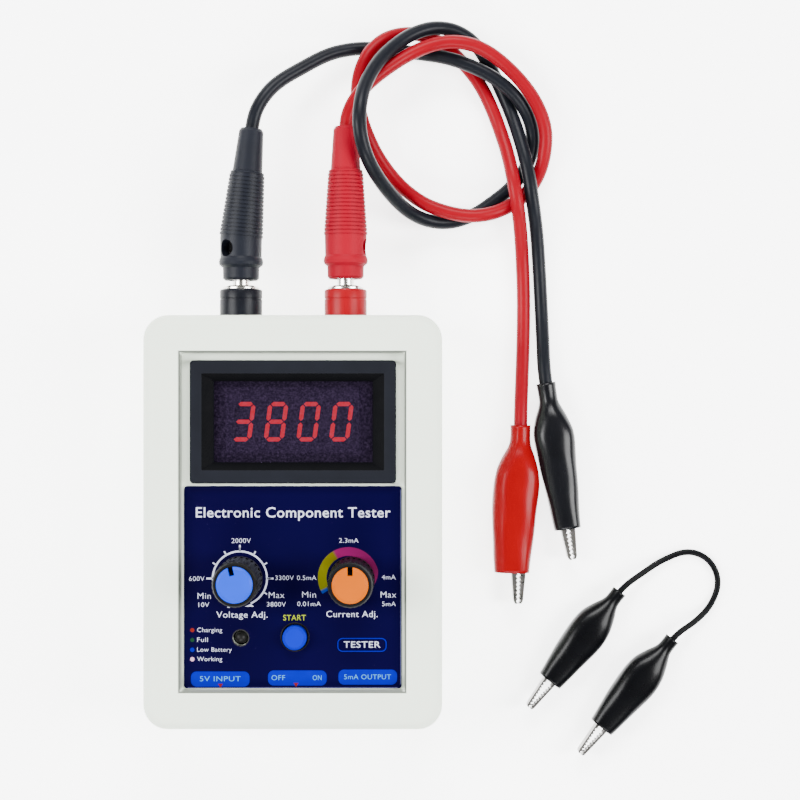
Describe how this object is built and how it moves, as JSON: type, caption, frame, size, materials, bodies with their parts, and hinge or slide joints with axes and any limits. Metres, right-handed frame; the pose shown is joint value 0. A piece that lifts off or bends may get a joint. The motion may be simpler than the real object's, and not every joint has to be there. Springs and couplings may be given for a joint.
{
  "type": "component tester",
  "caption": "Handheld high-voltage component tester with panel meter, two dials, push button, plugged-in banana test leads with alligator clips, and a loose clip jumper.",
  "frame": {"origin": "centre of the case's outline on its flat base, which lies on the table", "axes": "+Z out of the front panel, +Y towards the two output sockets, +X to the reader's right"},
  "size_m": [0.1399, 0.1806, 0.0426],
  "materials": {
    "case": "fine satin moulding",
    "panel": "printed film, satin",
    "black_plastic": "satin black",
    "window": "smoked filter",
    "display": "LED module face",
    "circuit_board": "solder mask",
    "ferrite": "ferrite and tape",
    "capacitor": "sleeve",
    "battery": "pouch foil",
    "led_lens": "dark lens",
    "nickel": "nickel plated",
    "screw_steel": "zinc plated",
    "pot_body": "stamped steel",
    "blue_cap": "light blue",
    "orange_cap": "orange yellow",
    "button_blue": "bright blue",
    "black_socket": "glossy black",
    "red_socket": "glossy red",
    "black_grip": "soft black",
    "red_grip": "soft red",
    "black_wire": "silicone sheath",
    "red_wire": "silicone sheath",
    "hookup": "hook-up wire",
    "black_boot": "glossy soft vinyl",
    "red_boot": "glossy soft vinyl",
    "spring_steel": "spring wire"
  },
  "bodies": {
    "tester": {"front_cover": "case", "rear_cover": "case", "control_panel": "panel", "meter_bezel": "black_plastic", "meter_window": "window", "led_display": "display", "meter_board": "circuit_board", "main_board": "circuit_board", "hv_transformer": "ferrite", "hv_capacitors": "capacitor", "battery_cell": "battery", "status_led": "led_lens", "usb_socket": "nickel", "power_switch": "screw_steel", "voltage_potentiometer": "pot_body", "current_potentiometer": "pot_body", "potentiometer_nuts": "nickel", "start_switch": "black_plastic", "case_screws": "screw_steel", "board_screws": "screw_steel", "black_socket": "black_socket", "red_socket": "red_socket", "socket_sleeves": "nickel", "socket_nuts": "nickel", "hook_up_wires": "hookup", "black_clip_lower_jaw": "nickel", "black_clip_spring": "spring_steel", "black_clip_boot": "black_boot", "red_clip_lower_jaw": "nickel", "red_clip_spring": "spring_steel", "red_clip_boot": "red_boot", "lead_clip_rivets": "nickel", "black_cord": "black_wire", "red_cord": "red_wire"},
    "voltage_dial": {"voltage_shaft": "nickel", "voltage_knob": "black_plastic", "voltage_cap": "blue_cap"},
    "current_dial": {"current_shaft": "nickel", "current_knob": "black_plastic", "current_cap": "orange_cap"},
    "start_key": {"start_button": "button_blue"},
    "power_lever": {"power_slider": "black_plastic"},
    "black_plug": {"black_plug_shell": "black_grip", "black_plug_pin": "nickel", "black_plug_spring": "nickel"},
    "red_plug": {"red_plug_shell": "red_grip", "red_plug_pin": "nickel", "red_plug_spring": "nickel"},
    "black_jaw": {"black_clip_upper_jaw": "nickel"},
    "red_jaw": {"red_clip_upper_jaw": "nickel"},
    "jumper_lead": {"jumper_cord": "black_wire", "jumper_clip_rivets": "nickel", "jumper_clip_a_lower_jaw": "nickel", "jumper_clip_a_spring": "spring_steel", "jumper_clip_a_boot": "black_boot", "jumper_clip_b_lower_jaw": "nickel", "jumper_clip_b_spring": "spring_steel", "jumper_clip_b_boot": "black_boot"},
    "jumper_jaw_a": {"jumper_clip_a_upper_jaw": "nickel"},
    "jumper_jaw_b": {"jumper_clip_b_upper_jaw": "nickel"}
  },
  "joints": [
    {"name": "voltage_turn", "type": "hinge", "parent": "tester", "child": "voltage_dial", "pos_m": [-0.0124, -0.0133, 0.0281], "axis": [0, 0, -1], "range_deg": [-136, 164]},
    {"name": "current_turn", "type": "hinge", "parent": "tester", "child": "current_dial", "pos_m": [0.0138, -0.0134, 0.0281], "axis": [0, 0, -1], "range_deg": [-150, 150]},
    {"name": "start_press", "type": "slide", "parent": "tester", "child": "start_key", "axis": [0, 0, -1], "range_m": [0, 0.0003], "stiffness_N_per_m": 4000},
    {"name": "power_slide", "type": "slide", "parent": "tester", "child": "power_lever", "axis": [1, 0, 0], "range_m": [-0.0024, 0]},
    {"name": "black_plug_pull", "type": "slide", "parent": "tester", "child": "black_plug", "axis": [0, 1, 0], "range_m": [0, 0.018], "deforming": ["black_cord", "red_cord"]},
    {"name": "red_plug_pull", "type": "slide", "parent": "tester", "child": "red_plug", "axis": [0, 1, 0], "range_m": [0, 0.018], "deforming": ["red_cord", "black_cord"]},
    {"name": "black_clip_open", "type": "hinge", "parent": "tester", "child": "black_jaw", "pos_m": [0.06437, 0.01104, 0.0043], "axis": [0, 0, 1], "range_deg": [0, 15], "stiffness_Nm_per_rad": 0.05, "springref_deg": -17.19, "deforming": ["black_clip_boot", "black_clip_spring"]},
    {"name": "red_clip_open", "type": "hinge", "parent": "tester", "child": "red_jaw", "pos_m": [0.05452, 0.0004, 0.0043], "axis": [0, 0, 1], "range_deg": [0, 15], "stiffness_Nm_per_rad": 0.05, "springref_deg": -17.19, "deforming": ["red_clip_boot", "red_clip_spring"]},
    {"name": "jumper_lift", "type": "slide", "parent": "tester", "child": "jumper_lead", "axis": [0, 0, 1], "range_m": [0, 0.05]},
    {"name": "jumper_clip_a_open", "type": "hinge", "parent": "jumper_lead", "child": "jumper_jaw_a", "pos_m": [0.06809, -0.03301, 0.004], "axis": [0, 0, 1], "range_deg": [0, 15], "stiffness_Nm_per_rad": 0.03, "springref_deg": -17.19, "deforming": ["jumper_clip_a_boot", "jumper_clip_a_spring"]},
    {"name": "jumper_clip_b_open", "type": "hinge", "parent": "jumper_lead", "child": "jumper_jaw_b", "pos_m": [0.08093, -0.04453, 0.004], "axis": [0, 0, 1], "range_deg": [0, 15], "stiffness_Nm_per_rad": 0.03, "springref_deg": -17.19, "deforming": ["jumper_clip_b_boot", "jumper_clip_b_spring"]}
  ]
}
